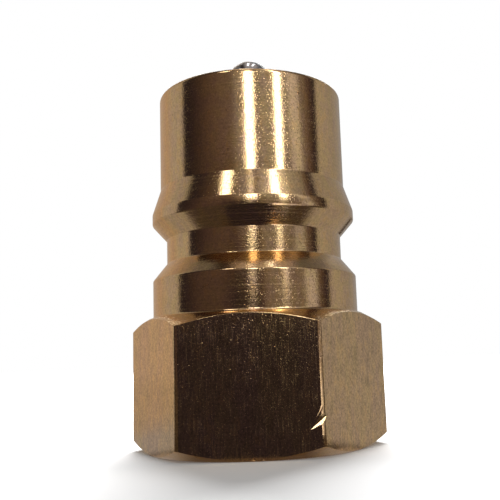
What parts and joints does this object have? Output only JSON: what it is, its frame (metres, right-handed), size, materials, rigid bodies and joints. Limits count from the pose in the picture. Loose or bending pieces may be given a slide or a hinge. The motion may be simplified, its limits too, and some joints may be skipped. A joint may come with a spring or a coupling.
{
  "type": "hydraulic quick coupling plug",
  "caption": "Plug half of a poppet-valve quick coupling: hexagon with a female pipe port, collar, locking groove and ring, and a sealing nose with a sprung valve pin.",
  "frame": {"origin": "on the axis, at the flat port face of the hexagon", "axes": "+Z along the axis towards the nose and the pin; one flat of the hexagon faces -Y"},
  "size_m": [0.0254, 0.022, 0.04],
  "materials": {
    "brass_body": "fine turned, bright",
    "valve_steel": "ground and polished",
    "seal_rubber": "matt black nitrile",
    "spring_steel": "drawn wire",
    "guide_brass": "plain turned",
    "ring_steel": "dark phosphated spring steel"
  },
  "bodies": {
    "body": {"nipple_body": "brass_body", "valve_guide": "guide_brass", "retaining_ring": "ring_steel", "valve_spring": "spring_steel"},
    "valve": {"poppet_valve": "valve_steel", "poppet_seal": "seal_rubber"}
  },
  "joints": [
    {"name": "poppet_slide", "type": "slide", "parent": "body", "child": "valve", "axis": [0, 0, -1], "range_m": [0, 0.004], "stiffness_N_per_m": 1585, "springref_m": -0.005, "deforming": ["valve_spring"]}
  ]
}
